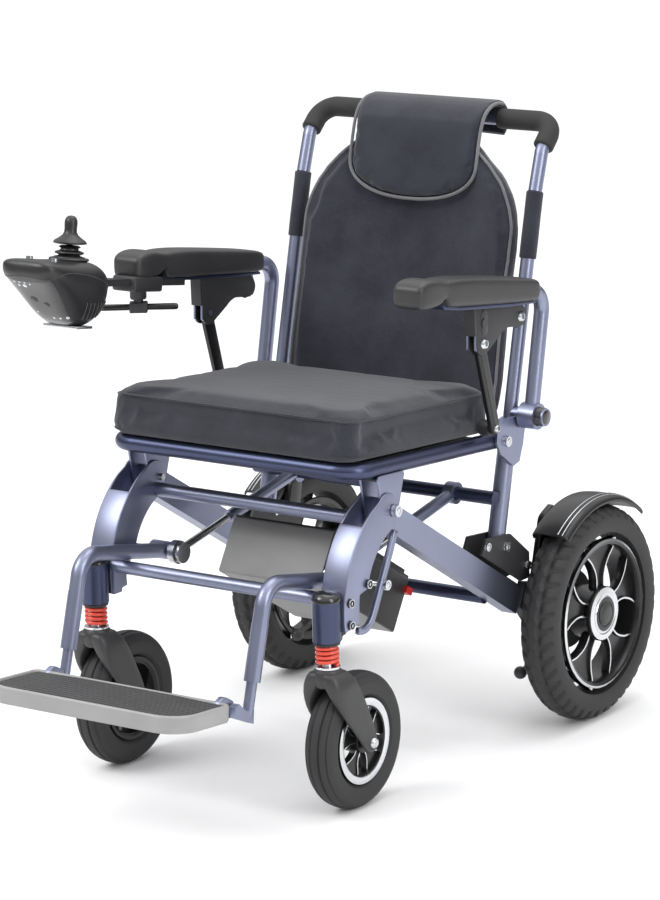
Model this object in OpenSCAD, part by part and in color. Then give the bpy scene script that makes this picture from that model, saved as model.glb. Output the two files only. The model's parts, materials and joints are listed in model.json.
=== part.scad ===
/* [Overall] */
// Distance between the left and right seat tubes, centre to centre
seat_w = 410; // [380:5:420]
// Distance between the two cane tubes of the backrest, centre to centre
cane_gap = 406; // [400:1:410]
// Distance between the two armrest centre lines
arm_gap = 474; // [468:1:480]
// Length of the armrest pads
arm_pad_l = 306; // [260:2:320]

/* [Wheels] */
// Outer diameter of a drive wheel
wheel_d = 320; // [314:1:322]
// Width of a drive wheel tyre
wheel_w = 58; // [50:1:60]
// Distance between the two drive wheels, centre to centre
wheel_gap = 518; // [516:1:530]
// Outer diameter of a caster tyre
caster_d = 192; // [180:1:196]
// Width of a caster tyre
caster_w = 46; // [40:1:48]
// Distance between the two casters, centre to centre
caster_gap = 398; // [396:1:402]

/* [Tubes] */
// Diameter of the seat tube
rail_d = 24; // [20:1:25]
// Diameter of the upper cane tube
cane_d = 20; // [18:1:21]
// Diameter of the lower strut tube
strut_d = 26; // [24:1:28]
// Diameter of the armrest tube
arm_d = 22; // [19:1:24]
// Height of the rectangular main beam
beam_h = 39; // [34:1:42]

/* [Upholstery] */
// Thickness of the seat cushion
cushion_t = 66; // [50:1:72]
// Thickness of the padded back cover
back_t = 24; // [16:1:28]

/* [Hidden] */
$fn = 48;
// side view places, as [y, z]
axle = [365, wheel_d / 2];
caster_axle = [-160, caster_d / 2];
stem = [-217, 0];
front_pivot = [-82, 405];
rail_front = [-155, 470];
rail_rear = [216, 443.5];
back_pivot = [205, 444];
strut_foot = [201, 290];
lean = 13.3;
arm_pivot = [247, 475];
arm_elbow = [284, 652];
arm_tip = [60, 677];
latch_pin = [207, 627];
strut_pin = [110, 605];
strut_end = [148, 476];
stay_rear = [190, 362];
stay_front = [-105, 305];
hanger_bend = [-296, 343];
hanger_end = [-333, 216];
foot_hinge = [-374, 186];
beam_slope = atan2(174, 287);
rail_slope = atan2(rail_front[1] - rail_rear[1], rail_rear[0] - rail_front[0]);
sides = [-1, 1];
xr = seat_w / 2;
xc = cane_gap / 2;
xa = arm_gap / 2;
xw = wheel_gap / 2;
xs = caster_gap / 2;
leg_x = 200;
leg_w = 40;
plate_t = 3.5;
hanger_x = 157;
leg_c = [-47, 284];
// joystick bar under the right armrest, and places along it
mount_front = [-120, 688];
mount_slope = 8.862;
pod_rear = -36;
pod_floor = -61;
stick_y = -86;
key_y = -146;
key_x = [-22, 22];

// ---------- helpers ----------
function at(x, p) = [x, p[0], p[1]];
function unit(v) = v / norm(v);
function on_cane(z) = strut_foot[0] + (z - strut_foot[1]) * tan(lean);

// round rod from a to b
module rod(a, b, d) {
    v = b - a;
    translate(a) rotate([0, acos(v[2] / norm(v)), atan2(v[1], v[0])]) cylinder(d = d, h = norm(v));
}

// straight stretches reach this far into the bends between them
function lap(i, last) = i == 0 || i == last ? 0 : 1;

// round tube through points, with every corner bent to radius r
module bent_tube(pts, r, d) {
    n = len(pts);
    dirs = [for (i = [0:n - 2]) unit(pts[i + 1] - pts[i])];
    turns = [for (i = [1:n - 2]) acos(dirs[i - 1] * dirs[i])];
    cuts = [for (i = [0:n - 1]) i == 0 || i == n - 1 ? 0 : r * tan(turns[i - 1] / 2)];
    for (i = [0:n - 2]) rod(pts[i] + dirs[i] * (cuts[i] - lap(i, n - 1)),
        pts[i + 1] - dirs[i] * (cuts[i + 1] - lap(i + 1, n - 1)), d);
    for (i = [1:n - 2]) {
        u = dirs[i - 1];
        v = dirs[i];
        w = unit(v - (u * v) * u);
        k = cross(u, w);
        c = pts[i] - u * cuts[i] + w * r;
        multmatrix([[-w[0], u[0], k[0], c[0]], [-w[1], u[1], k[1], c[1]], [-w[2], u[2], k[2], c[2]],
            [0, 0, 0, 1]])
            rotate_extrude(angle = turns[i - 1], $fn = 64) translate([r, 0]) circle(d = d + 0.14, $fn = 32);
    }
}

// flat plate with a side-view outline, from x0 to x1
module side_plate(pts, x0, x1) {
    translate([x0, 0, 0]) rotate([90, 0, 90]) linear_extrude(x1 - x0) polygon(pts);
}

// disc across the chair, centred on side-view point p
module disc(p, d, x0, x1) {
    translate([x0, p[0], p[1]]) rotate([0, 90, 0]) cylinder(d = d, h = x1 - x0);
}

// copies the children onto the left and right sides
module both() {
    children();
    mirror([1, 0, 0]) children();
}

// a part that is drawn for the right side; s = -1 puts it on the left
module side(s) {
    if (s > 0) children();
    else mirror([1, 0, 0]) children();
}

// turned ring round a wheel axle: profile is [radius, x from the wheel's middle]
module turned(p, x, profile) {
    translate([x, p[0], p[1]]) rotate([0, 90, 0]) rotate_extrude($fn = 96) polygon(profile);
}

// tyre outline: w wide, outer radius ro, bead radius ri
function tyre_profile(ro, ri, w) = let(h = w / 2, c = ro - h * 0.92) concat(
    [[ri, -h * 0.62]],
    [for (a = [-80:20:80]) [c + h * 0.92 * cos(a), h * sin(a)]],
    [[ri, h * 0.62]]);

// frame on the joystick bar: origin at its front, +Y back along it
module on_mount() translate(at(-xa, mount_front)) rotate([-mount_slope, 0, 0]) children();

// ---------- seat ----------
module seat_rail() color("slategray")
    bent_tube([at(-xr, rail_rear), at(-xr, rail_front), at(xr, rail_front), at(xr, rail_rear)], 34, rail_d);

// frame on the seat tubes: origin at their rear end, tilted with them
module on_seat(lift) translate(at(0, rail_rear + [0, lift])) rotate([-rail_slope, 0, 0]) children();

module seat_board() color("dimgray") on_seat(-4)
    translate([-xr + 14, -356, 0]) cube([seat_w - 28, 320, 8]);

module seat_cushion() color("darkslategray") on_seat(rail_d / 2 + 0.8)
    linear_extrude(cushion_t) hull() for (x = sides, y = [-354, -38])
        translate([x * (xr - 12), y]) circle(r = 21);

// ---------- main frame ----------
// frame of a beam: origin on its axis under the front pivot, +Y down its length
module on_beam() translate(at(0, front_pivot - [0, 8])) rotate([-beam_slope, 0, 0]) children();

module main_beam(s) color("slategray") side(s) difference() {
    on_beam() translate([xr - 17.5, -13, -beam_h / 2]) cube([25, 400, beam_h]);
    disc(front_pivot, 10, 150, 250);
}

module rear_struts() color("slategray") both() difference() {
    rod(at(xc, strut_foot), [xc, on_cane(428), 428], strut_d);
    disc(strut_foot, 8, 150, 250);
}

module rear_cross_tubes() color("midnightblue") {
    disc(stay_rear, 20, -xc - 8, xc + 8);
    disc([195, 212], 20, -xr + 17.5, xr - 17.5);
}

module frame_brackets() color("black") both() {
    difference() {
        union() {
            for (x = [184, 213])
                side_plate([[-112, 454], [-48, 450], [-66, 396], [-96, 391]], x, x + 3);
            translate([187, -112, 450]) cube([26, 60, 3]);
        }
        disc(front_pivot, 10, 150, 250);
    }
    difference() {
        union() {
            for (x = [xc - 17.5, xc + 13.5])
                side_plate([[138, 291], [150, 312], [214, 306], [264, 268], [264, 230], [240, 230]],
                    x, x + 4);
            on_beam() translate([xc - 13.5, 258, beam_h / 2]) cube([16, 156, 4]);
        }
        disc(strut_foot, 8, 150, 250);
    }
    translate([xc - 5, stay_rear[0] + 9, stay_rear[1] - 7]) cube([10, 9, 14]);
    disc(strut_end, 22, xr + 11, xa - 5);
}

module frame_bolts() color("silver") both() {
    disc(front_pivot, 10, 175, 224);
    disc(front_pivot, 17, 224, 229);
    disc(strut_foot, 8, xc - 20, xc + 17.5);
    disc(strut_foot, 14, xc + 17.5, xc + 22);
    disc(back_pivot, 8, xc - 20, xc + 20);
    disc(back_pivot, 15, xc + 18.5, xc + 23);
    for (p = [[150, 301], [258, 250]]) disc(p, 12, xc + 17.5, xc + 22);
}

// battery box slung between the beams, parallel to them
module battery_case() color("gray") on_beam() difference() {
    translate([-88, 66, -100]) cube([176, 216, 84]);
    translate([-89, 65, -44]) cube([178, 3, 1.5]);
    translate([63.8, 272, -40.2]) cube([24.4, 12, 10.4]);
}

module battery_latch() color("red") on_beam() translate([64, 273, -40]) cube([30, 16, 10]);

module hub_motors() color("black") both() union() {
    disc(axle, 116, 206, xw - 30);
    disc(axle, 20, 200, xw + 26);
    disc([330, 112], 8, 194, 207);
    side_plate([[255, 225], [300, 214], [385, 214], [404, 160], [365, 105], [318, 98], [240, 190]],
        206, 219);
}

// arc guard over a drive wheel, with an inner cheek that carries it
module mudguards() color("black") both() {
    translate(at(xw - 33, axle)) rotate([0, 90, 0]) rotate([0, 0, 140])
        rotate_extrude(angle = 80, $fn = 96) {
        translate([173, 0]) square([3, 64]);
        translate([158, 0]) square([16, 2]);
    }
    side_plate([[262, 214], [300, 214], [326, 332], [292, 318]], 219, 228);
}

module clutch_lever(s) color("dimgray") side(s) {
    difference() {
        disc([330, 112], 22, 196, 205.5);
        disc([330, 112], 8.1, 190, 230);
    }
    rod([200, 322, 108.5], [200, 296, 90], 7);
    translate([200, 296, 90]) sphere(d = 9, $fn = 32);
    rod([200, 296, 90], [200, 271, 83], 7);
    translate([200, 268, 82]) sphere(d = 19, $fn = 32);
}

// ---------- front legs ----------
function leg_arc(r, a0, a1, n) = [for (i = [0:n]) leg_c + r * [cos(a0 + (a1 - a0) * i / n),
    sin(a0 + (a1 - a0) * i / n)]];

module leg_cheek(x) {
    side_plate(concat(leg_arc(156, 120, 189, 14), leg_arc(122, 189, 168, 3), leg_arc(103, 164, 116, 10)),
        x, x + plate_t);
    disc(front_pivot + [-14, 2], 48, x, x + plate_t);
}

module leg_web(r, top)
    side_plate(concat(leg_arc(r, top, 188, 12), leg_arc(r - plate_t, 188, top, 12)),
        leg_x - leg_w / 2 + 1, leg_x + leg_w / 2 - 1);

module front_leg(s) color("slategray") side(s) difference() {
    union() {
        leg_cheek(leg_x - leg_w / 2);
        leg_cheek(leg_x + leg_w / 2 - plate_t);
        leg_web(156, 133);
        leg_web(124, 172);
    }
    disc(front_pivot, 10.1, 150, 250);
    translate([xs, stem[0], 200]) cylinder(d = 39.4, h = 130);
    disc(stay_front, 8, 120, 250);
}

module front_cross_tube() color("slategray") disc([-88, 388], 20, 20 - leg_x, leg_x - 20);

module front_crossbar() color("slategray") {
    disc([-195, 300], 19, 20 - leg_x, leg_x - 20);
    for (s = sides) side(s) side_plate([[-206, 304], [-186, 304], [-190, 262], [-208, 262]], 172, 176);
}

// caster stems: blind bore for the king pin, domed cap on top
module caster_stems() color("slategray") both() difference() {
    translate([xs, stem[0], 250]) {
        cylinder(d = 39, h = 60);
        translate([0, 0, 60]) cylinder(d1 = 39, d2 = 26, h = 7);
    }
    translate([xs, stem[0], 240]) cylinder(d = 16.1, h = 60);
}

module leg_bolts() color("silver") both() {
    for (p = [[-147, 316], [-191, 299], [-191, 268]]) disc(p, 12, leg_x + 20, leg_x + 24);
    disc(stay_front, 8, 127, leg_x + 22);
    disc(stay_front, 30, 125, 128);
    disc(stay_front, 14, leg_x + 20, leg_x + 25);
}

// legrest hangers: swan neck tube with a sleeve on the leg and a socket for the footrest post
hanger_dir = unit(at(0, hanger_end - hanger_bend));
module legrest_hangers() color("slategray") both() difference() {
    union() {
        bent_tube([at(hanger_x, stay_front + [-9, 1.8]), at(hanger_x, hanger_bend),
            at(hanger_x, hanger_end) - hanger_dir * 78], 34, 22);
        rod(at(hanger_x, hanger_end) - hanger_dir * 80, at(hanger_x, hanger_end), 23);
        disc(stay_front, 26, 146, leg_x - 20);
    }
    disc(stay_front, 8, 120, 250);
    rod(at(hanger_x, hanger_end) - hanger_dir * 72, at(hanger_x, hanger_end) + hanger_dir * 5, 15.2);
}

// one post on each side, with the lug and pin of the footplate hinge
module footrest_posts() color("slategray") both() {
    rod(at(hanger_x, hanger_end) - hanger_dir * 40, at(hanger_x, hanger_end) + hanger_dir * 46, 15);
    difference() {
        side_plate([[-356, 182], [-338, 180], [-340, 160], [-376, 176], [-380, 192], [-370, 195]],
            151, 163);
        disc(foot_hinge, 8, 120, 200);
    }
    disc(foot_hinge, 8, 138, 163);
}

module footplate() color("gray") difference() {
    union() {
        difference() {
            translate([0, 0, 176]) linear_extrude(24) hull() {
                for (s = sides) translate([s * 137, -490]) circle(r = 35);
                for (s = sides) translate([s * 162, -402]) circle(r = 10);
            }
            translate([-155, -510, 197]) cube([310, 104, 10]);
        }
        for (s = sides) side(s) {
            disc(foot_hinge, 18, 140.3, 149.7);
            side_plate([[-372, 194], [-372, 180], [-394, 180], [-394, 194]], 140.3, 149.7);
        }
    }
    disc(foot_hinge, 8.1, -200, 200);
}

// ---------- telescopic stays ----------
stay_dir = unit(at(0, stay_rear - stay_front));
stay_x = 138;
module stay_tubes() color("slategray") both() difference() {
    union() {
        rod(at(stay_x, stay_front) + stay_dir * 128, at(stay_x, stay_rear), 18);
        disc(stay_rear, 32, stay_x - 8, stay_x + 8);
    }
    rod(at(stay_x, stay_front) + stay_dir * 120, at(stay_x, stay_rear) - stay_dir * 20, 11.1);
    disc(stay_rear, 20.1, 100, 180);
}

module stay_rods() color("silver") both() difference() {
    union() {
        rod(at(stay_x, stay_front) + stay_dir * 12, at(stay_x, stay_front) + stay_dir * 170, 11);
        disc(stay_front, 34, stay_x - 5, stay_x + 5);
    }
    disc(stay_front, 22, 100, 180);
}

// ---------- casters ----------
function coil_z(i) = 219 + i * 5.6;
module caster_spring(s) color("red") side(s) translate([xs, stem[0], 0]) {
    translate([0, 0, 193]) cylinder(d = 16, h = 92);
    for (z = [212.5, 245.5]) translate([0, 0, z]) cylinder(d = 34, h = 4);
    for (i = [0:4]) translate([0, 0, coil_z(i)])
        rotate_extrude() translate([13, 0]) circle(d = 5, $fn = 16);
}

module caster_fork(s) color("dimgray") side(s) difference() {
    union() {
        translate([xs, stem[0], 190]) cylinder(d = 44, h = 22);
        translate([xs - 32, stem[0] - 21, 196]) cube([64, 42, 12]);
        for (x = [-32, 26])
            side_plate([[-238, 208], [-196, 208], [-150, 150], [-140, 108], [-144, 84], [-160, 78],
                [-176, 84],
                [-182, 108], [-198, 150], [-238, 190]], xs + x, xs + x + 6);
        disc(caster_axle, 8, xs - 27, xs + 27);
        for (x = [-36, 32]) disc(caster_axle, 16, xs + x, xs + x + 4);
    }
    translate([xs, stem[0], 180]) cylinder(d = 16.1, h = 60);
}

module caster_rim(s) color("silver") side(s) difference() {
    union() {
        turned(caster_axle, xs, [[18, -20], [18, 20], [0, 20], [0, -20]]);
        turned(caster_axle, xs, [[56, -17], [60, -17], [60, 17], [56, 17], [50, 10], [50, -10]]);
        for (a = [0:72:288]) translate(at(xs, caster_axle)) rotate([a, 0, 0])
            translate([-9, -6, 14]) cube([18, 12, 40]);
    }
    disc(caster_axle, 8.1, 100, 300);
}

module caster_tyre(s) color("black") side(s)
    turned(caster_axle, xs, tyre_profile(caster_d / 2, 60.2, caster_w));

// ---------- drive wheels ----------
module rear_rim(s) color("silver") side(s) difference() {
    union() {
        turned(axle, xw, [[40, -28], [40, 24], [34, 29], [0, 29], [0, -28]]);
        turned(axle, xw, [[103, -22], [110, -22], [110, 22], [103, 22], [97, 12], [97, -12]]);
        for (a = [0:72:288]) translate(at(xw, axle)) rotate([a, 0, 0])
            translate([-4, -16, 36]) cube([20, 32, 64]);
    }
    disc(axle, 20.1, 200, xw + 26.2);
}

module rear_tyre(s) color("black") side(s) turned(axle, xw, tyre_profile(wheel_d / 2, 110.2, wheel_w));

// ---------- backrest ----------
// canes with the saddle plates that turn on the seat tube, and the armrest stubs
module back_canes() color("slategray") both() difference() {
    union() {
        rod([xc, on_cane(443), 443], [xc, on_cane(786), 786], cane_d);
        side_plate([[190, 428], [180, 446], [184, 470], [198, 478], [248, 474], [256, 456], [250, 432],
            [240, 408], [224, 404]], xr + 12.5, xr + 16);
        side_plate([[192, 432], [192, 452], [206, 456], [250, 468], [254, 452], [240, 428]],
            xr - 20, xr - 16.5);
        disc([241, 456], 18, xr - 17, xr + 13);
        disc(arm_pivot, 22, xc, xa + 14);
        disc(arm_pivot, 26, xa + 13.6, xa + 25);
    }
    disc(back_pivot, 8.1, 150, 250);
}

module push_bar() color("slategray") bent_tube([[-xc, on_cane(786), 786], [-xc, 338, 844], [-xc, 374, 878],
    [xc, 374, 878], [xc, 338, 844], [xc, on_cane(786), 786]], 28, cane_d);

module push_grips() color("black") both()
    bent_tube([[xc, 352, 857], [xc, 374, 878], [110, 374, 878]], 28, 30);

// frame on the canes: origin on their line at height z0, +Z up along them, +Y to the rear
module on_back(z0) translate([0, on_cane(z0), z0]) rotate([-lean, 0, 0]) children();

// sling section: hollow towards the sitter, from half width -w to w
function sling(w, y0, dip, n) = [for (i = [-n:n]) [w * i / n, y0 + dip * (1 - pow(i / n, 2))]];
module back_pad() color("darkslategray") on_back(470) intersection() {
    linear_extrude(392) polygon(concat(sling(187, -18, 26, 8), sling(-187, back_t - 18, 26, 8)));
    rotate([90, 0, 0]) translate([0, 0, -60]) linear_extrude(120) polygon([[-186, 0], [186, 0], [188, 230],
        [184, 304], [164, 352], [105, 390], [-105, 390], [-164, 352], [-184, 304], [-188, 230]]);
}

module headrest_flap() color("midnightblue") {
    on_back(764) intersection() {
        translate([-109, -13, 0]) cube([218, 11, 116]);
        rotate([90, 0, 0]) translate([0, 0, -20]) linear_extrude(60)
            polygon(concat([[110, 130], [-110, 130]], [for (a = [180:10:360])
                [109 * cos(a), 62 + 62 * sin(a)]]));
    }
    difference() {
        union() {
            disc([374, 878], 44, -108, 108);
            side_plate([[374, 900], [320, 888], [317, 876], [330, 866], [374, 866]], -108, 108);
        }
        disc([374, 878], 21, -120, 120);
    }
}

// ---------- armrests ----------
module armrest_bush(s) color("black") side(s) difference() {
    disc(arm_pivot, 28, xa - 13, xa + 13);
    disc(arm_pivot, 22.1, 200, 300);
}

module armrest_frame(s) color("slategray") side(s) difference() {
    union() {
        bent_tube([at(xa, arm_pivot), at(xa, arm_elbow), at(xa, arm_tip)], 30, arm_d);
        disc(arm_pivot, 38, xa - 13, xa + 13);
        for (x = [-8, 5]) side_plate([[95, 668], [92, 598], [105, 590], [122, 592], [165, 618], [212, 612],
            [224, 630], [214, 656]], xa + x, xa + x + 3);
        disc(strut_pin, 8, xa - 10, xa + 8);
        disc(strut_pin, 14, xa + 8, xa + 12);
        disc(latch_pin, 13, xa + 8, xa + 12);
    }
    disc(arm_pivot, 28.1, 200, 300);
    disc([112, 634], 14.4, xa + 2, 300);
}

pad_bottom = [[235, 647], [66, 666], [-arm_pad_l + 236, 681]];
module armrest_pad(s) color("black") side(s) difference() {
    union() {
        side_plate(concat(pad_bottom,
            [[-66, 716], [-52, 723], [-20, 719], [30, 714], [150, 694], [228, 678]]),
            xa - 22, xa + 28);
        if (s < 0) translate([xa - 24, -80, 652]) cube([44, 66, 36]);
    }
    rod(at(xa, arm_elbow), at(xa, 2 * arm_tip - arm_elbow + [190, -21]), arm_d + 0.6);
    for (x = [-8, 5])
        side_plate([[95, 668], [92, 598], [224, 600], [214, 656]], xa + x - 0.3, xa + x + 3.3);
    if (s < 0) mirror([1, 0, 0]) on_mount() translate([-12.3, -20, -5.3]) cube([24.6, 230, 10.6]);
}

module armrest_strut(s) color("black") side(s) difference() {
    union() {
        side_plate([strut_pin + [-12, 4], strut_pin + [12, 6], strut_end + [9, 4], strut_end + [-9, -2]],
            xa - 4, xa + 4);
        disc(strut_pin, 26, xa - 4, xa + 4);
        disc(strut_end, 20, xa - 4, xa + 4);
        disc(strut_end, 11, xa + 4, xa + 8);
    }
    disc(strut_pin, 8.1, 200, 300);
}

module latch_button(s) color("dimgray") side(s) disc([112, 634], 14, xa + 4.2, xa + 11);

// ---------- joystick, on the right armrest ----------
module joystick_mount() color("black") on_mount() translate([-12, pod_rear, -5]) cube([24, 206, 10]);

module joystick_pod() color("black") on_mount() difference() {
    intersection() {
        translate([0, 0, -70]) linear_extrude(110) hull() {
            for (x = [-29, 29]) translate([x, -169]) circle(r = 21);
            for (x = [-26, 26]) translate([x, pod_rear - 22]) circle(r = 22);
        }
        side_plate([[-190, 22], [-186, 30], [-176, 34], [-80, 33], [-56, 22], [pod_rear, 7],
            [pod_rear, -12], [-42, -34], [-56, -56], [-62, pod_floor], [-98, pod_floor], [-116, -39],
            [-160, -4], [-188, 13]], -60, 60);
        rotate([90, 0, 0]) translate([0, 0, 20]) linear_extrude(180)
            polygon([[-47, 36], [-50, 26], [-50, -8], [-33, pod_floor], [33, pod_floor], [50, -8], [50, 26],
                [47, 36]]);
    }
    translate([0, stick_y, 24]) cylinder(d = 46, h = 20);
    for (x = key_x) translate([x, key_y, 19.5]) cylinder(d = 10.2, h = 20);
}

module joystick_boot() color("black") on_mount() translate([0, stick_y, 24.5]) difference() {
    rotate_extrude()
        polygon([[0, 0], [22.5, 0], [22.5, 9], [17, 12], [20, 17], [14, 22], [9, 26], [0, 26]]);
    translate([0, 0, 3]) cylinder(d1 = 26, d2 = 12, h = 30);
}

module joystick_stick() color("black") on_mount() translate([0, stick_y, 0]) rotate_extrude()
    polygon([[0, 29], [4, 29], [4, 54], [22, 54.5], [23.5, 57], [11, 66], [9, 71], [9, 87], [6, 92],
        [0, 94]]);

// clamp screw under the armrest: stem, hub and a long T handle
module clamp_screw() color("black") translate([-xa, -47, 0]) {
    translate([0, 0, 642]) cylinder(d = 8, h = 9.5);
    translate([0, 0, 632]) cylinder(d = 20, h = 14);
    rotate([0, 0, 35]) translate([0, 0, 640]) rod([-56, 0, 0], [56, 0, 0], 9);
}

module pod_button(x) on_mount() translate([x, key_y, 21.5]) cylinder(d = 10, h = 14.5);
module power_button() color("silver") pod_button(key_x[0]);
module horn_button() color("silver") pod_button(key_x[1]);

seat_rail();
seat_board();
seat_cushion();
main_beam(1);  // main_beam_left
main_beam(-1);  // main_beam_right
rear_struts();
rear_cross_tubes();
front_cross_tube();
frame_brackets();
frame_bolts();
battery_case();
battery_latch();
hub_motors();
mudguards();
clutch_lever(1);  // clutch_lever_left
clutch_lever(-1);  // clutch_lever_right
front_leg(1);  // front_leg_left
front_leg(-1);  // front_leg_right
front_crossbar();
caster_stems();
leg_bolts();
legrest_hangers();
footrest_posts();
footplate();
stay_tubes();
stay_rods();
caster_spring(1);  // caster_spring_left
caster_spring(-1);  // caster_spring_right
caster_fork(1);  // caster_fork_left
caster_fork(-1);  // caster_fork_right
caster_rim(1);  // caster_rim_left
caster_rim(-1);  // caster_rim_right
caster_tyre(1);  // caster_tyre_left
caster_tyre(-1);  // caster_tyre_right
rear_tyre(1);  // rear_tyre_left
rear_tyre(-1);  // rear_tyre_right
rear_rim(1);  // rear_rim_left
rear_rim(-1);  // rear_rim_right
back_canes();
push_bar();
push_grips();
back_pad();
headrest_flap();
armrest_bush(1);  // armrest_bush_left
armrest_bush(-1);  // armrest_bush_right
armrest_frame(1);  // armrest_frame_left
armrest_frame(-1);  // armrest_frame_right
armrest_pad(1);  // armrest_pad_left
armrest_pad(-1);  // armrest_pad_right
armrest_strut(1);  // armrest_strut_left
armrest_strut(-1);  // armrest_strut_right
latch_button(1);  // latch_button_left
latch_button(-1);  // latch_button_right
joystick_pod();
joystick_stick();
joystick_boot();
joystick_mount();
clamp_screw();
power_button();
horn_button();
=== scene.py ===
import json
import math
import bpy
import bmesh
from mathutils import Matrix, Vector
from mathutils.bvhtree import BVHTree

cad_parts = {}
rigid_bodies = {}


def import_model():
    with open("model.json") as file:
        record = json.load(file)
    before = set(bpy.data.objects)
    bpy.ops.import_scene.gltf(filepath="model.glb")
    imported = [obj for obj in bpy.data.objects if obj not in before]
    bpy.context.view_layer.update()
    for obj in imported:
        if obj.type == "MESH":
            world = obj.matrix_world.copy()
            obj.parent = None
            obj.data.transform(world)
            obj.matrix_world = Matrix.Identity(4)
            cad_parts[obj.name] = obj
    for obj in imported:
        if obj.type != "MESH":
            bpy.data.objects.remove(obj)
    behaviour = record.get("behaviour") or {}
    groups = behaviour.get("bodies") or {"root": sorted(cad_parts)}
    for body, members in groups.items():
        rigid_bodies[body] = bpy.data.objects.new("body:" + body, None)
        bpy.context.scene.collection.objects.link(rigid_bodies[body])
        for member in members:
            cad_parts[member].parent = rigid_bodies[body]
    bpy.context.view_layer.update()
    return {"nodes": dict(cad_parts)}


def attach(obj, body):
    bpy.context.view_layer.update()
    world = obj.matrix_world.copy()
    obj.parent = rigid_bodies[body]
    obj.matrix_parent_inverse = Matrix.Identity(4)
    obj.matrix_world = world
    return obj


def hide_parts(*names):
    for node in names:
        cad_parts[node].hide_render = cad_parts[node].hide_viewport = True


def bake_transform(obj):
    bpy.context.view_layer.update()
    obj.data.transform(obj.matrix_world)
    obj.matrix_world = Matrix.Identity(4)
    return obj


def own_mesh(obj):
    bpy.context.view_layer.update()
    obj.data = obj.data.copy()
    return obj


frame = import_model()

scene = bpy.context.scene
nodes = frame["nodes"]
mm = 0.001


def newObject(name, data):
    obj = bpy.data.objects.new(name, data)
    bpy.context.collection.objects.link(obj)
    return obj


def newMesh(name, points, faces, edges=()):
    mesh = bpy.data.meshes.new(name)
    mesh.from_pydata([tuple(p) for p in points], list(edges), faces)
    return newObject(name, mesh)


def addModifier(obj, kind, **settings):
    modifier = obj.modifiers.new(kind.title(), kind)
    for key, value in settings.items():
        setattr(modifier, key, value)


def subdivide(obj, levels=2):
    addModifier(obj, "SUBSURF", levels=levels, render_levels=levels)


def smoothShade(obj, sharp=None):
    obj.data.shade_smooth()
    if sharp:
        obj.data.set_sharp_from_angle(angle=math.radians(sharp))


def fixNormals(mesh):
    bm = bmesh.new()
    bm.from_mesh(mesh)
    bmesh.ops.remove_doubles(bm, verts=bm.verts, dist=0.00002)
    bmesh.ops.recalc_face_normals(bm, faces=bm.faces)
    bm.to_mesh(mesh)
    bm.free()


def settle(obj, place=None, sharp=35):
    # applies the stack, then the place, and leaves the object at the origin
    bpy.context.view_layer.update()
    graph = bpy.context.evaluated_depsgraph_get()
    mesh = bpy.data.meshes.new_from_object(obj.evaluated_get(graph))
    name = obj.name
    bpy.data.objects.remove(obj)
    if place is not None:
        mesh.transform(place)
    fixNormals(mesh)
    result = newObject(name, mesh)
    smoothShade(result, sharp)
    return result


def mirrored(obj, name):
    # the same piece on the other side of the chair
    copy = newObject(name, obj.data.copy())
    if copy.type == "MESH":
        copy.data.transform(Matrix.Scale(-1, 4, (1, 0, 0)))
        copy.data.flip_normals()
    else:
        for spline in copy.data.splines:
            for p in spline.points:
                p.co.x = -p.co.x
    return copy


def tube(name, points, radius, cyclic=False, sides=4, radii=None):
    # round tube through the points
    curve = bpy.data.curves.new(name, "CURVE")
    curve.dimensions = "3D"
    curve.bevel_depth = radius
    curve.bevel_resolution = sides
    curve.use_fill_caps = True
    spline = curve.splines.new("POLY")
    spline.points.add(len(points) - 1)
    for i, p in enumerate(points):
        spline.points[i].co = (*p, 1)
        spline.points[i].radius = radii[i] if radii else 1
    spline.use_cyclic_u = cyclic
    spline.use_smooth = True
    return newObject(name, curve)


def smoothPath(points, per):
    # Catmull-Rom path through the given points
    pts = [Vector(p) for p in points]
    path = []
    for i, (b, c) in enumerate(zip(pts, pts[1:])):
        a, d = pts[max(0, i - 1)], pts[min(len(pts) - 1, i + 2)]
        for k in range(per):
            t = k / per
            path.append(0.5 * ((2 * b) + (c - a) * t + (2 * a - 5 * b + 4 * c - d) * t * t
                               + (3 * b - a - 3 * c + d) * t ** 3))
    return path + [pts[-1]]


def turned(name, profile, place, steps=96, finish=None):
    # profile is [radius, height] in mm, spun about the object's own Z
    points = [(r * mm, 0, h * mm) for r, h in profile]
    obj = newMesh(name, points, [], [(i, i + 1) for i in range(len(points) - 1)])
    addModifier(obj, "SCREW", axis="Z", steps=steps, render_steps=steps, use_merge_vertices=True,
                merge_threshold=0.00005)
    obj = settle(obj, place)
    return dress(obj, finish) if finish else obj


def grid(name, rows, closeAcross=False, closeAlong=False):
    # skin over rows of points
    count = len(rows[0])
    points = [p for row in rows for p in row]
    faces = []
    for i in range(len(rows) - (0 if closeAlong else 1)):
        a, b = i * count, ((i + 1) % len(rows)) * count
        for j in range(count - (0 if closeAcross else 1)):
            k = (j + 1) % count
            faces.append((a + j, a + k, b + k, b + j))
    return newMesh(name, points, faces)


def closedGrid(name, rows):
    # skin over rows that run all round, with a face over each end
    obj = grid(name, rows, closeAcross=True)
    bm = bmesh.new()
    bm.from_mesh(obj.data)
    bmesh.ops.holes_fill(bm, edges=bm.edges, sides=0)
    bmesh.ops.recalc_face_normals(bm, faces=bm.faces)
    bm.to_mesh(obj.data)
    bm.free()
    return obj


def signedPower(value, power):
    return math.copysign(abs(value) ** power, value)


def squircle(per, powerAcross, powerUp):
    # points round a squared circle of half width 1
    for k in range(per):
        a = 2 * math.pi * (k + 0.5) / per
        yield signedPower(math.cos(a), powerAcross), signedPower(math.sin(a), powerUp)


def wheelPlace(x, y, z):
    # a turned piece's Z goes along the axle
    return Matrix.Translation((x, y, z)) @ Matrix.Rotation(math.radians(90), 4, "Y")


def dress(obj, *finishes):
    obj.data.materials.clear()
    for finish in finishes:
        obj.data.materials.append(finish)
    return obj


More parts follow.
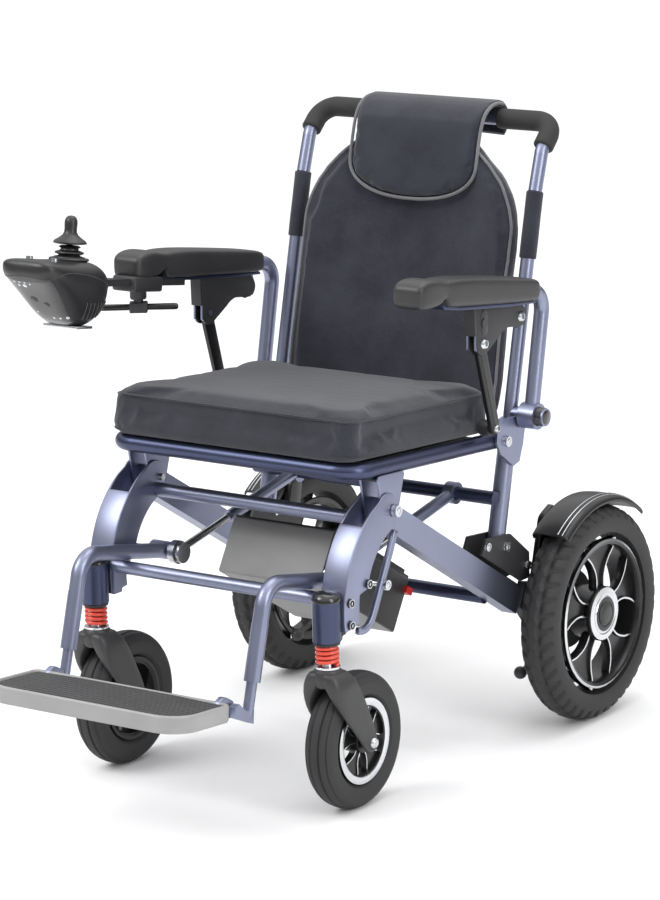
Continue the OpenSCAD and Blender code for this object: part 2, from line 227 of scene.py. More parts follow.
def assign(parts, body, node=None):
    for part in parts:
        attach(part, body)
        if node:
            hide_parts(node)


def addNode(mat, kind, **settings):
    node = mat.node_tree.nodes.new(kind)
    for key, value in settings.items():
        if key in node.inputs:
            node.inputs[key].default_value = value
        else:
            setattr(node, key, value)
    return node


def link(mat, a, b):
    mat.node_tree.links.new(a, b)


def toShader(mat, output, socket):
    link(mat, output, mat.node_tree.nodes["Principled BSDF"].inputs[socket])


def material(name, color, roughness=0.5, metallic=0.0, **sockets):
    mat = bpy.data.materials.new(name)
    mat.use_nodes = True
    shader = mat.node_tree.nodes["Principled BSDF"]
    shader.inputs["Base Color"].default_value = (*color, 1)
    shader.inputs["Roughness"].default_value = roughness
    shader.inputs["Metallic"].default_value = metallic
    for key, value in sockets.items():
        shader.inputs[key.replace("_", " ")].default_value = value
    return mat


def objectCoords(mat):
    return addNode(mat, "ShaderNodeTexCoord").outputs["Object"]


def noiseField(mat, vector, scale, detail=4, roughness=0.55):
    node = addNode(mat, "ShaderNodeTexNoise", Scale=scale, Detail=detail, Roughness=roughness)
    link(mat, vector, node.inputs["Vector"])
    return node.outputs["Fac"]


def weave(mat, vector, scale, direction):
    node = addNode(mat, "ShaderNodeTexWave", bands_direction=direction, Scale=scale, Distortion=1.2)
    link(mat, vector, node.inputs["Vector"])
    return node.outputs["Fac"]


def ramp(mat, value, low, lowColor, high, highColor):
    node = addNode(mat, "ShaderNodeValToRGB")
    for element, at, color in zip(node.color_ramp.elements, (low, high), (lowColor, highColor)):
        element.position = at
        element.color = (*color, 1)
    link(mat, value, node.inputs["Fac"])
    return node.outputs["Color"]


def bump(mat, height, distance, before=None):
    node = addNode(mat, "ShaderNodeBump", Strength=0.5, Distance=distance)
    link(mat, height, node.inputs["Height"])
    if before is not None:
        link(mat, before, node.inputs["Normal"])
    toShader(mat, node.outputs["Normal"], "Normal")
    return node.outputs["Normal"]


def finished(name, color, roughness, metallic=0.0, grain=900, depth=0.00006, vary=0.12, **sockets):
    # one finish with soft colour patches, a roughness drift and a fine surface grain
    mat = material(name, color, roughness, metallic, **sockets)
    place = objectCoords(mat)
    patches = noiseField(mat, place, 9, 3)
    dark, light = (tuple(c * k for c in color) for k in (1 - vary, 1 + vary))
    toShader(mat, ramp(mat, patches, 0.3, dark, 0.7, light), "Base Color")
    fine = noiseField(mat, place, grain, 3)
    drift = addNode(mat, "ShaderNodeMapRange")
    drift.inputs["To Min"].default_value = roughness - 0.05
    drift.inputs["To Max"].default_value = roughness + 0.06
    link(mat, patches, drift.inputs["Value"])
    toShader(mat, drift.outputs["Result"], "Roughness")
    bump(mat, fine, depth)
    return mat


def wovenCloth(name, color, light, pitch, sheen=0.35):
    # plain weave: warp and weft waves, fluff on top, and slow shading patches
    mat = material(name, color, 0.92, Sheen_Weight=sheen, Sheen_Roughness=0.55,
                   Specular_IOR_Level=0.15)
    place = objectCoords(mat)
    cross = addNode(mat, "ShaderNodeMath", operation="MULTIPLY")
    for i, direction in enumerate("XZ"):
        link(mat, weave(mat, place, 0.32 / pitch, direction), cross.inputs[i])
    fluff = noiseField(mat, place, 420, 6, 0.7)
    mixer = addNode(mat, "ShaderNodeMath", operation="MULTIPLY_ADD")
    link(mat, fluff, mixer.inputs[0])
    mixer.inputs[1].default_value = 0.55
    link(mat, noiseField(mat, place, 14, 5, 0.6), mixer.inputs[2])
    toShader(mat, ramp(mat, mixer.outputs[0], 0.45, color, 1.0, light), "Base Color")
    bump(mat, fluff, 0.0005, bump(mat, cross.outputs[0], 0.0004))
    return mat


print("materials")
paints = {
    "frame": finished("frameBlue", (0.245, 0.265, 0.365), 0.35, 0.9, grain=1400, depth=0.00003,
                      vary=0.06),
    # a darker copy of the frame paint; on seat_rail it is painted shade under the cushion
    "frameDark": finished("frameNavyAndRailShade", (0.060, 0.070, 0.125), 0.32, 0.85, grain=1400,
                          depth=0.00003, vary=0.06),
    "blackMetal": finished("blackEnamel", (0.007, 0.007, 0.0075), 0.32, Coat_Weight=0.2,
                           Coat_Roughness=0.15, Specular_IOR_Level=0.35),
    "podSkin": finished("podSkin", (0.016, 0.016, 0.017), 0.36, grain=1500, depth=0.00005),
    "blackMatt": finished("blackMatt", (0.022, 0.022, 0.024), 0.5, grain=1100, depth=0.00012),
    "castGrey": finished("castGrey", (0.036, 0.036, 0.037), 0.42, 0.1, grain=1200, depth=0.00012),
    "steel": finished("brightSteel", (0.60, 0.61, 0.63), 0.24, 1.0, grain=1600, depth=0.00002),
    "machined": finished("machinedAlloy", (0.66, 0.67, 0.69), 0.22, 1.0, grain=1600, depth=0.00003),
    "tyre": finished("tyreRubber", (0.030, 0.030, 0.031), 0.6, grain=700, depth=0.0002,
                     Specular_IOR_Level=0.35),
    "plastic": finished("blackPlastic", (0.026, 0.026, 0.028), 0.45, grain=1500, depth=0.0001),
    "gloss": finished("podPlastic", (0.014, 0.014, 0.015), 0.2, grain=1500, depth=0.00004,
                      Coat_Weight=0.4, Coat_Roughness=0.1),
    "armPad": finished("armPadSkin", (0.024, 0.024, 0.025), 0.42, grain=1000, depth=0.00022,
                       vary=0.2),
    "foam": finished("gripFoam", (0.019, 0.019, 0.0195), 0.75, grain=1300, depth=0.00035,
                     vary=0.2),
    "tray": finished("trayPlastic", (0.28, 0.28, 0.277), 0.36, grain=900, depth=0.0001),
    "mat": finished("trayMat", (0.050, 0.050, 0.051), 0.6, grain=1100, depth=0.0003),
    "boxFront": finished("batteryShell", (0.25, 0.25, 0.245), 0.45, grain=1000, depth=0.00012),
    "red": finished("redPlastic", (0.55, 0.02, 0.015), 0.35),
    "springRed": finished("springRed", (0.68, 0.06, 0.03), 0.28, 0.1, Coat_Weight=0.4,
                          Coat_Roughness=0.1),
    "piping": wovenCloth("pipingCloth", (0.085, 0.085, 0.095), (0.17, 0.17, 0.18), 0.0012),
    "seatCloth": wovenCloth("seatSuede", (0.0115, 0.0125, 0.0175), (0.032, 0.034, 0.044), 0.0020,
                            sheen=0.25),
    "backCloth": wovenCloth("backRib", (0.011, 0.0115, 0.0175), (0.036, 0.038, 0.052), 0.0018,
                            sheen=0.2),
    "flapCloth": wovenCloth("flapPlush", (0.0070, 0.0080, 0.0140), (0.025, 0.028, 0.042), 0.0014,
                            sheen=0.3),
}

nodeFinish = {
    "frame": "main_beam_left main_beam_right rear_struts front_leg_left front_leg_right push_bar"
             " legrest_hangers footrest_posts stay_tubes back_canes armrest_frame_left"
             " armrest_frame_right front_cross_tube front_crossbar",
    # seat_rail takes the darker copy of the frame paint as painted shade under the cushion
    "frameDark": "seat_rail rear_cross_tubes caster_stems",
    "blackMatt": "frame_brackets hub_motors seat_board armrest_bush_left armrest_bush_right"
                 " joystick_mount clamp_screw",
    "blackMetal": "mudguards",
    "castGrey": "caster_fork_left caster_fork_right",
    "steel": "frame_bolts leg_bolts stay_rods power_button horn_button",
    "machined": "caster_rim_left caster_rim_right rear_rim_left rear_rim_right",
    "tyre": "caster_tyre_left caster_tyre_right rear_tyre_left rear_tyre_right",
    "plastic": "armrest_strut_left armrest_strut_right clutch_lever_left clutch_lever_right"
               " latch_button_left latch_button_right",
    "gloss": "joystick_pod joystick_stick joystick_boot",
    "armPad": "armrest_pad_left armrest_pad_right",
    "foam": "push_grips",
    "tray": "footplate",
    "boxFront": "battery_case",
    "red": "battery_latch",
    "springRed": "caster_spring_left caster_spring_right",
    "seatCloth": "seat_cushion",
    "backCloth": "back_pad",
    "flapCloth": "headrest_flap",
}
for finish, names in nodeFinish.items():
    for name in names.split():
        node = nodes[name]
        if not node.material_slots:
            node.data.materials.append(paints[finish])
        for part in node.material_slots:
            part.material = paints[finish]

print("stage")
view = dict(azimuth=35.229, elevation=13.081, roll=-1.357, across=-0.171678, up=0.36366,
            away=5.802754, rearAxle=0.365, lens=208.8)
az, el, roll = (math.radians(view[k]) for k in ("azimuth", "elevation", "roll"))
flat = Vector((math.cos(az), math.sin(az), 0))
back = Vector((math.sin(az) * math.cos(el), -math.cos(az) * math.cos(el), math.sin(el)))
rise = back.cross(flat)
right = flat * math.cos(roll) + rise * math.sin(roll)
upward = rise * math.cos(roll) - flat * math.sin(roll)
eye = (right * view["across"] + upward * view["up"] + back * view["away"]
       + Vector((0, view["rearAxle"], 0)))
cameraData = bpy.data.cameras.new("camera")
cameraData.sensor_fit = "HORIZONTAL"
cameraData.sensor_width = 36
cameraData.lens = view["lens"]
cameraData.clip_end = 60
camera = newObject("camera", cameraData)
cameraTurn = Matrix((right, upward, back)).transposed().to_4x4()
camera.matrix_world = Matrix.Translation(eye) @ cameraTurn
scene.camera = camera

floor = newMesh("floor", [(-14, -14, 0), (14, -14, 0), (14, 14, 0), (-14, 14, 0)], [(0, 1, 2, 3)])
dress(floor, finished("floorPaper", (0.9, 0.9, 0.9), 0.9, grain=60, depth=0.0001, vary=0.01))

world = bpy.data.worlds.new("studio")
scene.world = world
world.use_nodes = True
sky = world.node_tree
skyCoords = sky.nodes.new("ShaderNodeTexCoord")
skySplit = sky.nodes.new("ShaderNodeSeparateXYZ")
skyRamp = sky.nodes.new("ShaderNodeValToRGB")
for _ in range(2):
    skyRamp.color_ramp.elements.new(0.5)
skyLevels = ((0.0, 0.16), (0.22, 0.22), (0.5, 0.75), (1.0, 1.0))
for step, (at, level) in zip(skyRamp.color_ramp.elements, skyLevels):
    step.position = at
    step.color = (level, level, level * 1.01, 1)
sky.links.new(skyCoords.outputs["Generated"], skySplit.inputs[0])
sky.links.new(skySplit.outputs["Z"], skyRamp.inputs["Fac"])
sky.links.new(skyRamp.outputs["Color"], sky.nodes["Background"].inputs["Color"])
sky.nodes["Background"].inputs["Strength"].default_value = 1.5
scene.view_settings.view_transform = "Standard"


def softLight(name, place, aim, size, power):
    data = bpy.data.lights.new(name, "AREA")
    data.shape = "RECTANGLE"
    data.size, data.size_y = size
    data.energy = power
    lamp = newObject(name, data)
    lamp.location = place
    lamp.rotation_euler = (Vector(aim) - Vector(place)).to_track_quat("-Z", "Y").to_euler()


softLight("keyLight", (-1.6, -2.2, 2.9), (0, 0, 0.45), (1.6, 1.6), 55)
softLight("sideLight", (2.8, -0.6, 1.6), (0, 0.1, 0.45), (0.9, 2.0), 30)
softLight("topLight", (0.2, 0.6, 3.2), (0, 0, 0.4), (2.0, 2.0), 25)


clothFrames = 20


def inflate(obj, voxel, pressure, cap, pinned=None):
    # swells a closed shape as cloth under pressure, then holds every point within the cap
    addModifier(obj, "REMESH", mode="VOXEL", voxel_size=voxel, use_smooth_shade=True)
    obj = settle(obj, sharp=None)
    start = [v.co.copy() for v in obj.data.vertices]
    if pinned:
        group = obj.vertex_groups.new(name="pinned")
        group.add([i for i, p in enumerate(start) if pinned(p)], 1.0, "REPLACE")
    cloth = obj.modifiers.new("Cloth", "CLOTH")
    cloth.settings.quality = 4
    cloth.settings.mass = 0.3
    cloth.settings.use_pressure = True
    cloth.settings.uniform_pressure_force = pressure
    cloth.settings.effector_weights.gravity = 0
    if pinned:
        cloth.settings.vertex_group_mass = "pinned"
    cloth.point_cache.frame_start = 1
    cloth.point_cache.frame_end = clothFrames
    for f in range(1, clothFrames + 1):
        scene.frame_set(f)
    swollen = obj.evaluated_get(bpy.context.evaluated_depsgraph_get()).data
    moved = [v.co.copy() for v in swollen.vertices]
    obj.modifiers.clear()
    for v, a, b in zip(obj.data.vertices, start, moved):
        step = b - a
        v.co = a + step * min(1, cap / max(step.length, 1e-9))
    scene.frame_set(1)
    subdivide(obj, 1)
    return settle(obj, sharp=None)


def nearestOn(obj):
    tree = BVHTree.FromObject(obj, bpy.context.evaluated_depsgraph_get())
    return lambda p: tree.find_nearest(Vector(p))


def seam(name, obj, points, radius, cyclic=False, sink=0.3):
    # piping that follows the swollen surface nearest to the drawn line
    bpy.context.view_layer.update()
    nearest = nearestOn(obj)
    path = []
    for p in points:
        spot, normal, _, _ = nearest(p)
        path.append(spot + normal * radius * sink)
    return tube(name, path, radius, cyclic, 3)


def roundedPlan(halfX, front, rear, corner, per=8):
    # plan outline, counter-clockwise, with round corners
    outline = []
    for cx, cy, turn in ((halfX, rear, 0), (-halfX, rear, 90), (-halfX, front, 180),
                         (halfX, front, 270)):
        mx = cx - math.copysign(corner, cx)
        my = cy - corner if cy == rear else cy + corner
        for k in range(per + 1):
            a = math.radians(turn + 90 * k / per)
            outline.append((mx + corner * math.cos(a), my + corner * math.sin(a)))
    return outline


print("seat cushion")
seat = dict(slope=-4.086, rearY=0.216, rearZ=0.4435, lift=0.0135, halfWidth=0.2125, front=-0.390,
            rear=-0.019, thick=0.060, corner=0.032, edge=0.010, voxel=0.0055, pressure=4, cap=0.009,
            pinned=0.004, seam=0.0016)
seatPlace = (Matrix.Translation((0, seat["rearY"], seat["rearZ"]))
             @ Matrix.Rotation(math.radians(seat["slope"]), 4, "X")
             @ Matrix.Translation((0, 0, seat["lift"])))


def makeCushion():
    shape = [seat[k] for k in ("halfWidth", "front", "rear", "corner")]
    thick, edge = seat["thick"], seat["edge"]
    mid = (seat["front"] + seat["rear"]) / 2
    rows = []
    for inset, height in ((edge, 0), (0.001, edge * 0.8), (0.004, thick * 0.5),
                          (0.001, thick - edge * 0.6), (edge, thick)):
        k = 1 - inset / seat["halfWidth"]
        rows.append([(x * k, mid + (y - mid) * k, height) for x, y in roundedPlan(*shape)])
    body = inflate(closedGrid("seatCushion", rows), seat["voxel"], seat["pressure"], seat["cap"],
                   pinned=lambda p: p.z < seat["pinned"])
    body.data.transform(seatPlace)
    dress(body, paints["seatCloth"])
    trims = []
    for label, height in (("Top", thick + 0.003), ("Bottom", 0.004)):
        line = [seatPlace @ Vector((x * 1.01, y + 0.001 * (1 if y > -0.2 else -1), height))
                for x, y in roundedPlan(*shape, 10)]
        trim = settle(seam("seatSeam" + label, body, line, seat["seam"], True), sharp=None)
        dress(trim, paints["seatCloth"])
        trims.append(trim)
    return [body] + trims


cushionParts = makeCushion()
assign(cushionParts, "chassis", "seat_cushion")
for part in cushionParts:
    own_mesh(part)

print("back cover")
cover = dict(lean=13.3, footY=0.201, footZ=0.290, low=0.470, tall=0.386, half=0.186, dip=0.026,
             front=-0.018, thick=0.020, voxel=0.0055, pressure=3, cap=0.006, shoulder=0.245,
             piping=0.0021)


def onCane(z):
    return cover["footY"] + (z - cover["footZ"]) * math.tan(math.radians(cover["lean"]))


backPlace = (Matrix.Translation((0, onCane(cover["low"]), cover["low"]))
             @ Matrix.Rotation(math.radians(-cover["lean"]), 4, "X"))


def coverHalf(h):
    # half width at a height: straight sides, then round shoulders
    t = max(0.0, (h - cover["shoulder"]) / (cover["tall"] - cover["shoulder"]))
    foot = 0.006 * max(0.0, 1 - h / 0.05)
    return cover["half"] - foot - 0.086 * t ** 2.3


def coverFront(u, h):
    low = min(1.0, h / 0.06)
    return cover["front"] + cover["dip"] * (1 - u * u) - 0.003 * low


def makeCover():
    rows = []
    for i in range(17):
        h = cover["tall"] * i / 16
        half = coverHalf(h)
        front = [(half * u / 10, coverFront(u / 10, h), h) for u in range(-10, 11)]
        rear = [(x, y + cover["thick"], h) for x, y, h in reversed(front)]
        rows.append(front + rear)
    body = inflate(closedGrid("backCover", rows), cover["voxel"], cover["pressure"], cover["cap"])
    body.data.transform(backPlace)
    dress(body, paints["backCloth"])
    trims = []
    tall = cover["tall"]
    for label, depth in (("Front", -0.001), ("Rear", cover["thick"] + 0.001)):
        line = [Vector((coverHalf(h), coverFront(1, h) + depth, h))
                for h in (tall * i / 40 for i in range(41))]
        top = [Vector((coverHalf(tall) * u / 8, coverFront(u / 8 * 0.9, tall) + depth, tall))
               for u in range(7, -8, -1)]
        other = [Vector((-p.x, p.y, p.z)) for p in reversed(line)]
        path = [backPlace @ p for p in line + top + other]
        trim = seam("backPiping" + label, body, path, cover["piping"], sink=0.6)
        dress(trim, paints["piping"])
        trims.append(trim)
    return [body] + trims


assign(makeCover(), "backrest", "back_pad")

print("headrest flap")
flap = dict(half=0.110, edgeZ=0.818, depth=0.054, thick=0.0095, power=2.3, voxel=0.0045, pressure=3,
            cap=0.004, piping=0.0024, columns=30, rows=36)
flapPath = smoothPath([(0, y, z) for y, z in (
    (0.384, 0.853), (0.395, 0.866), (0.3965, 0.882), (0.388, 0.896), (0.374, 0.9005),
    (0.356, 0.899), (0.338, 0.889), (0.327, 0.872), (0.3195, 0.850), (0.312, 0.820),
    (0.305, 0.790), (0.2985, 0.762))], 6)


def flapPoint(u, t):
    # u runs across the flap, t from its rear edge over the bar to its round front edge
    lowZ = flap["edgeZ"] - flap["depth"] * (1 - abs(u) ** flap["power"]) ** (1 / flap["power"])
    last = len(flapPath) - 2
    while flapPath[last].z < lowZ:
        last -= 1
    end = last + (flapPath[last].z - lowZ) / max(1e-6, flapPath[last].z - flapPath[last + 1].z)
    place = t * min(end, len(flapPath) - 1.001)
    i = int(place)
    p = flapPath[i].lerp(flapPath[i + 1], place - i)
    return Vector((flap["half"] * u, p.y, p.z))


def sineSpaced(count):
    return [math.sin(math.pi / 2 * (2 * i / count - 1)) for i in range(count + 1)]


def makeFlap():
    across = sineSpaced(flap["columns"])
    sheet = grid("headrestFlap", [[flapPoint(u, j / flap["rows"]) for u in across]
                                  for j in range(flap["rows"] + 1)])
    addModifier(sheet, "SOLIDIFY", thickness=flap["thick"], offset=0, use_even_offset=True)
    sheet = settle(sheet, sharp=None)
    body = inflate(sheet, flap["voxel"], flap["pressure"], flap["cap"])
    dress(body, paints["flapCloth"])
    edge = [flapPoint(u, 1) for u in sineSpaced(60)]
    sideUp = [flapPoint(-1, j / 40) for j in range(14, 40)]
    path = sideUp + edge + [Vector((-p.x, p.y, p.z)) for p in reversed(sideUp)]
    trim = tube("flapPiping", [p + Vector((0, -0.0035, 0)) for p in path], flap["piping"], sides=3)
    dress(trim, paints["piping"])
    return [body, trim]


assign(makeFlap(), "backrest", "headrest_flap")

print("grips")
grip = dict(radius=0.0149, x=0.203, corner=0.028, barY=0.374, barZ=0.878)
sleeveRadius = 0.0124
for side, label in ((1, "Left"), (-1, "Right")):
    corner = Vector((grip["x"], grip["barY"], grip["barZ"]))
    down = (Vector((grip["x"], 0.338, 0.844)) - corner).normalized()
    centre = corner + (down - Vector((1, 0, 0))) * grip["corner"]
    path = [corner + down * s for s in (0.046, 0.0455, 0.0445, 0.040, 0.034)]
    for k in range(13):
        a = math.radians(7.5 * k)
        outward = Vector((1, 0, 0)) * math.cos(a) - down * math.sin(a)
        path.append(centre + outward * grip["corner"])
    path += [Vector((x, grip["barY"], grip["barZ"]))
             for x in (0.160, 0.145, 0.130, 0.1135, 0.1105, 0.110)]
    radii = [0.80, 0.95, 1.0] + [1.0] * (len(path) - 6) + [1.0, 0.95, 0.80]
    piece = tube("gripFoam" + label, [(side * p.x, p.y, p.z) for p in path], grip["radius"],
                 sides=8, radii=radii)
    assign([dress(piece, paints["foam"])], "backrest", "push_grips")
    path = [(side * grip["x"], onCane(z), z)
            for z in (0.692, 0.6925, 0.694, 0.72, 0.75, 0.784, 0.7855, 0.786)]
    sleeve = tube("caneSleeve" + label, path, sleeveRadius, sides=8,
                  radii=[0.86, 0.96, 1, 1.01, 0.99, 1, 0.96, 0.86])
    assign([dress(sleeve, paints["backCloth"])], "backrest")

print("drive wheels")
drive = dict(x=0.259, y=0.365, z=0.160, outer=160, bead=109.5, half=28.5, around=480, across=42,
             repeats=42, groove=4.2, sweep=118, treadSweep=72)


def smoothStep(value, edge, soft):
    return min(1.0, max(0.0, (value - edge) / soft + 0.5))


def driveTread(turn, across):
    # 1 on a block, 0 in a groove; across runs -1..1 over the tread
    side = abs(across)
    zig = 0.5 + 0.5 * math.sin(turn * drive["repeats"] * 2 * math.pi)
    rib = 1 - smoothStep(side, 0.13 + 0.11 * zig, 0.05)
    phase = (turn * drive["repeats"] + 0.55 * side + (0.5 if across < 0 else 0)) % 1.0
    block = smoothStep(phase, 0.16, 0.10) * (1 - smoothStep(phase, 0.84, 0.10))
    block *= smoothStep(side, 0.36, 0.05)
    return max(rib, block)


def makeDriveTyre(name):
    rows = []
    crown = drive["half"] * 0.92
    centre = drive["outer"] - crown
    for i in range(drive["around"]):
        turn = i / drive["around"]
        a = 2 * math.pi * turn
        row = []
        for j in range(drive["across"]):
            s = math.radians(drive["sweep"] * (2 * j / (drive["across"] - 1) - 1))
            radius = centre + crown * signedPower(math.cos(s), 0.86)
            height = drive["half"] * signedPower(math.sin(s), 0.90)
            reach = math.degrees(s) / drive["treadSweep"]
            if abs(reach) < 1:
                fade = 1 - smoothStep(abs(reach), 0.95, 0.1)
                groove = drive["groove"] * (1 - driveTread(turn, reach)) * fade
                radius -= groove * math.cos(s)
                height -= groove * math.sin(s) * 0.9
            radius = max(radius, drive["bead"])
            row.append((height * mm, radius * math.cos(a) * mm, radius * math.sin(a) * mm))
        rows.append(row)
    tyre = grid(name, rows, closeAcross=True, closeAlong=True)
    tyre.data.transform(Matrix.Translation((drive["x"], drive["y"], drive["z"])))
    fixNormals(tyre.data)
    smoothShade(tyre, 50)
    dress(tyre, paints["tyre"])
    return tyre


def spoke(name, outline, thick, rim, sink, place, turns):
    # flat spokes with a machined edge round a sunken black pocket, repeated round the hub
    bm = bmesh.new()
    bright = []
    for k in range(turns):
        a = 2 * math.pi * (k + 0.25) / turns
        front = []
        for r, t in outline:
            y = r * math.cos(a) - t * math.sin(a)
            z = r * math.sin(a) + t * math.cos(a)
            front.append(bm.verts.new((0, y * mm, z * mm)))
        face = bm.faces.new(front)
        face.normal_update()
        if face.normal.x < 0:
            face.normal_flip()
        rear = bmesh.ops.extrude_face_region(bm, geom=[face])
        for v in rear["geom"]:
            if isinstance(v, bmesh.types.BMVert):
                v.co.x += thick * mm
        top = [f for f in rear["geom"] if isinstance(f, bmesh.types.BMFace)][0]
        bright += bmesh.ops.inset_region(bm, faces=[top], thickness=rim * mm,
                                         use_even_offset=True)["faces"]
        bmesh.ops.inset_region(bm, faces=[top], thickness=0.8 * mm, depth=-sink * mm,
                               use_even_offset=True)
    bm.faces.ensure_lookup_table()
    for f in bm.faces:
        f.material_index = 0 if f in bright else 1
    mesh = bpy.data.meshes.new(name)
    bmesh.ops.recalc_face_normals(bm, faces=bm.faces)
    bm.to_mesh(mesh)
    bm.free()
    mesh.transform(place)
    mesh.materials.append(paints["machined"])
    mesh.materials.append(paints["blackMetal"])
    obj = newObject(name, mesh)
    addModifier(obj, "BEVEL", width=0.0005, segments=2, limit_method="ANGLE")
    return settle(obj, sharp=30)


def fillet(outline, radius, per=4):
    # rounds every corner of an outline
    result = []
    n = len(outline)
    for i, p in enumerate(outline):
        a, b, c = Vector(outline[i - 1]), Vector(p), Vector(outline[(i + 1) % n])
        cut = min(radius, (a - b).length * 0.45, (c - b).length * 0.45)
        start, end = b + (a - b).normalized() * cut, b + (c - b).normalized() * cut
        for k in range(per + 1):
            t = k / per
            result.append(tuple((1 - t) ** 2 * start + 2 * t * (1 - t) * b + t * t * end))
    return result


driveSpoke = fillet([(34, -11), (34, 11), (54, 11), (66, 15), (80, 25), (92, 39), (106, 47),
                     (106, -47), (92, -39), (80, -25), (66, -15), (54, -11)], 5)


def shineRing(obj, wheel, inner, outer):
    # black enamel, with the outward faces between two radii machined bright
    dress(obj, paints["blackMetal"], paints["machined"])
    for face in obj.data.polygons:
        y, z = face.center.y - wheel["y"], face.center.z - wheel["z"]
        if inner < math.hypot(y, z) / mm < outer and face.normal.x > 0.5:
            face.material_index = 1


def makeDriveWheel():
    place = wheelPlace(drive["x"], drive["y"], drive["z"])
    flat = Matrix.Translation((drive["x"] + 0.006, drive["y"], drive["z"]))
    barrel = turned("driveRim", [(99, -22), (104, -26), (110, -26), (111, -23), (106, -12),
                                 (106, 14), (111, 22), (110.5, 26), (107, 27.5), (103, 26),
                                 (101, 22), (99.5, 14), (99, -22)], place, 128)
    shineRing(barrel, drive, 107.5, 112)
    spokes = spoke("driveSpokes", driveSpoke, 14, 2.8, 5.0, flat, 5)
    hub = turned("driveHub", [(0, -22), (37, -22), (39, -8), (39, 14), (40.5, 17), (40.5, 24),
                              (39, 26.5), (31, 28), (29.5, 27), (27, 27), (25.5, 28.4),
                              (20, 28.8), (18.5, 27.6), (17, 27.6), (0, 27.6)], place)
    shineRing(hub, drive, 26, 38)
    dome = turned("driveHubDome", [(0, 27), (17, 27), (17, 28.6), (14.5, 31), (8, 32.2),
                                   (0, 32.5)], place, 64, paints["castGrey"])
    return [barrel, spokes, hub, dome]


driveParts = [(makeDriveTyre("driveTyreLeft"), "rear_tyre_", "tyre_rubber")]
driveParts += [(part, "rear_rim_", "machined_rim") for part in makeDriveWheel()]
for label in ("left", "right"):
    for part, node, slotName in driveParts:
        piece = part
        if label == "right":
            piece = mirrored(part, part.name.replace("Left", "") + "Right")
        assign([piece], "drive_wheel_" + label, node + label)

print("casters")
caster = dict(x=0.199, y=-0.160, z=0.096, stemY=-0.217, crown=20, centre=76, half=22.5)
casterPlace = wheelPlace(caster["x"], caster["y"], caster["z"])
stemPlace = Matrix.Translation((caster["x"], caster["stemY"], 0))


def makeCasterTyre():
    profile = [(60.5, -14), (66, -20)]
    for j in range(-24, 25):
        s = math.radians(j * 3.2)
        radius = caster["centre"] + caster["crown"] * math.cos(s) ** 0.9
        height = caster["half"] * signedPower(math.sin(s), 0.85)
        groove = min(abs(abs(height) - 6.5), abs(abs(height) - 15.5), abs(height) + 3.5)
        radius -= 2.6 * max(0.0, 1 - groove / 1.5) ** 0.6
        profile.append((radius, height))
    profile += [(66, 20), (60.5, 14), (60.5, -14)]
    return turned("casterTyre", profile[::-1], casterPlace, 120, paints["tyre"])


casterSpoke = fillet([(13, -6), (13, 6), (23, 6), (32, 10), (42, 18), (53, 24), (53, -24),
                      (42, -18), (32, -10), (23, -6)], 3)


def makeCasterWheel():
    ring = turned("casterRim", [(51, -15), (55, -18), (60, -18), (61, -16), (57, -6), (57, 6),
                                (61, 16), (60, 19), (56, 19.5), (50, 18.6), (48, 17.4), (49, 12),
                                (51, -15)], casterPlace)
    shineRing(ring, caster, 49, 61)
    spokes = spoke("casterSpokes", casterSpoke, 10, 1.6, 1.8,
                   Matrix.Translation((caster["x"] + 0.004, caster["y"], caster["z"])), 5)
    hub = turned("casterHub", [(0, -19), (15, -19), (17, -14), (17, 16), (16, 18), (9, 19.5),
                               (0, 19.5)], casterPlace, 64, paints["blackMetal"])
    return [ring, spokes, hub]


def loft(name, sections, per=16):
    # rounded sections: centre, half across X, half across the other way, and that way
    rows = []
    for centre, halfX, halfT, way in sections:
        rows.append([Vector(centre) + Vector((halfX * cx, 0, 0)) + Vector(way) * halfT * ct
                     for cx, ct in squircle(per, 0.55, 0.55)])
    obj = closedGrid(name, rows)
    subdivide(obj, 1)
    return settle(obj, sharp=50)


# each row: distance from the wheel's plane, Y, Z, half thickness, half width, way across in Y and Z
forkBlade = [(0.008, -0.217, 0.210, 0.012, 0.020, 1, 0),
             (0.012, -0.217, 0.203, 0.014, 0.0215, 1, 0),
             (0.018, -0.216, 0.193, 0.014, 0.024, 0.97, 0.24),
             (0.0245, -0.211, 0.179, 0.0085, 0.027, 0.91, 0.41),
             (0.0285, -0.200, 0.158, 0.0046, 0.026, 0.88, 0.47),
             (0.0295, -0.185, 0.135, 0.0036, 0.022, 0.88, 0.47),
             (0.0295, -0.170, 0.112, 0.0036, 0.018, 0.90, 0.42),
             (0.0295, -0.161, 0.094, 0.0036, 0.016, 0.98, 0.2),
             (0.0295, -0.158, 0.081, 0.0034, 0.010, 1, 0)]
axleNut = [(0, 38.5), (5, 38.5), (7, 37), (8, 35), (8, 32), (0, 32)]


def makeFork():
    parts = []
    for s, label in ((1, "Outer"), (-1, "Inner")):
        blade = loft("forkBlade" + label, [
            ((caster["x"] + s * dx, y, z), halfX, halfT, (0, wayY, wayZ))
            for dx, y, z, halfX, halfT, wayY, wayZ in forkBlade])
        parts.append(dress(blade, paints["castGrey"]))
    parts.append(turned("forkCrown", [(0, 186), (18, 187), (21, 191), (21.8, 199), (20.6, 206),
                                      (19, 210), (17.5, 212), (0, 212)],
                        stemPlace, 64, paints["castGrey"]))
    inner = [(r, -h) for r, h in reversed(axleNut)]
    for name, profile in (("forkAxleNut", axleNut), ("forkAxleNutInner", inner)):
        parts.append(turned(name, profile, casterPlace, 24, paints["steel"]))
    return parts


spring = dict(radius=0.0140, wire=0.0026, low=0.2175, high=0.2435, turns=4)


